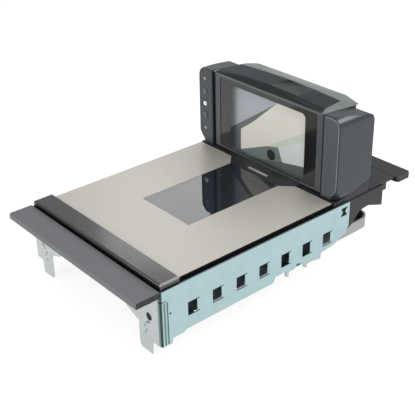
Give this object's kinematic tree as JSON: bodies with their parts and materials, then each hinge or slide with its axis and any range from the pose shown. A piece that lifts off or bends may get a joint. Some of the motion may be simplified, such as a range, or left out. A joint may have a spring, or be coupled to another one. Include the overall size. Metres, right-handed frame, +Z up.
{
  "type": "checkout scanner and scale",
  "caption": "In-counter scanner with stainless weigh platter, glass reading window, upright reading tower and steel adapter frame.",
  "frame": {"origin": "on the surface it stands on, under the middle of the whole assembly", "axes": "+X right seen from the cashier, +Y from the cashier's edge to the tower, +Z up"},
  "size_m": [0.292, 0.508, 0.236],
  "materials": {
    "zinc_steel": "galvanised sheet, satin",
    "platter_steel": "fine brushed stainless",
    "screw_steel": "bright plated",
    "filler_plastic": "fine texture",
    "housing_plastic": "moulded black",
    "cast_pan": "cast, satin",
    "black_rubber": "matt",
    "port_plastic": "moulded",
    "window_glass": "polished",
    "circuit_board": "solder mask",
    "camera_plastic": "moulded",
    "lens_glass": "coated",
    "optic_mirror": "front surface",
    "led_board": "white solder mask",
    "cell_aluminium": "machined",
    "rail_plastic": "satin gloss",
    "cover_plastic": "fine texture",
    "bezel_plastic": "satin",
    "shelf_plastic": "satin",
    "badge_silver": "satin, blank",
    "cap_plastic": "semi gloss",
    "inlay_gloss": "gloss",
    "panel_plastic": "satin film",
    "lens_white": "translucent",
    "button_plastic": "satin"
  },
  "bodies": {
    "scanner": {"side_rail_right": "zinc_steel", "side_rail_left": "zinc_steel", "front_leg_right": "zinc_steel", "front_leg_left": "zinc_steel", "front_crossmember": "zinc_steel", "front_filler_plate": "filler_plastic", "rear_filler_plate": "filler_plastic", "rear_ledge_bracket": "filler_plastic", "frame_screws": "screw_steel", "levelling_screws": "screw_steel", "filler_plate_screws": "screw_steel", "lower_housing": "housing_plastic", "base_pan": "cast_pan", "rubber_feet": "black_rubber", "base_screws": "screw_steel", "interface_panel": "zinc_steel", "interface_ports": "port_plastic", "optics_cover": "housing_plastic", "inner_window": "window_glass", "inner_window_gasket": "black_rubber", "main_board": "circuit_board", "base_camera_modules": "camera_plastic", "base_camera_lenses": "lens_glass", "base_fold_mirrors": "optic_mirror", "base_led_boards": "led_board", "load_cell": "cell_aluminium", "load_cell_spacers": "cell_aluminium", "scale_spider": "cell_aluminium", "spider_pads": "black_rubber", "tower_chassis": "housing_plastic", "tower_rear_cover": "cover_plastic", "front_bezel": "bezel_plastic", "vertical_glass": "window_glass", "shelf": "shelf_plastic", "shelf_badge": "badge_silver", "top_cap": "cap_plastic", "top_inlay": "inlay_gloss", "side_cover_right": "cover_plastic", "side_cover_left": "cover_plastic", "speaker_grille": "cover_plastic", "speaker": "camera_plastic", "control_panel": "panel_plastic", "control_board": "circuit_board", "status_lenses": "lens_white", "tower_camera_module": "camera_plastic", "tower_camera_lens": "lens_glass", "tower_mirrors": "optic_mirror", "tower_led_boards": "led_board", "tower_screws": "screw_steel"},
    "platter": {"platter": "platter_steel", "platter_glass": "window_glass", "platter_glass_frame": "housing_plastic", "rail_hinge_lugs": "zinc_steel"},
    "produce_rail": {"produce_rail": "rail_plastic", "rail_hinge_pins": "screw_steel"},
    "zero_button": {"zero_button": "button_plastic"},
    "volume_button": {"volume_button": "button_plastic"}
  },
  "joints": [
    {"name": "platter_lift", "type": "slide", "parent": "scanner", "child": "platter", "axis": [0, 0, 1], "range_m": [0, 0.15]},
    {"name": "produce_rail_flip", "type": "hinge", "parent": "platter", "child": "produce_rail", "pos_m": [0, -0.1905, 0.1045], "axis": [-1, 0, 0], "range_deg": [0, 90]},
    {"name": "zero_button_press", "type": "slide", "parent": "scanner", "child": "zero_button", "axis": [0, 1, 0], "range_m": [0, 0.001], "stiffness_N_per_m": 400, "springref_m": -0.0008},
    {"name": "volume_button_press", "type": "slide", "parent": "scanner", "child": "volume_button", "axis": [0, 1, 0], "range_m": [0, 0.001], "stiffness_N_per_m": 400, "springref_m": -0.0008}
  ]
}
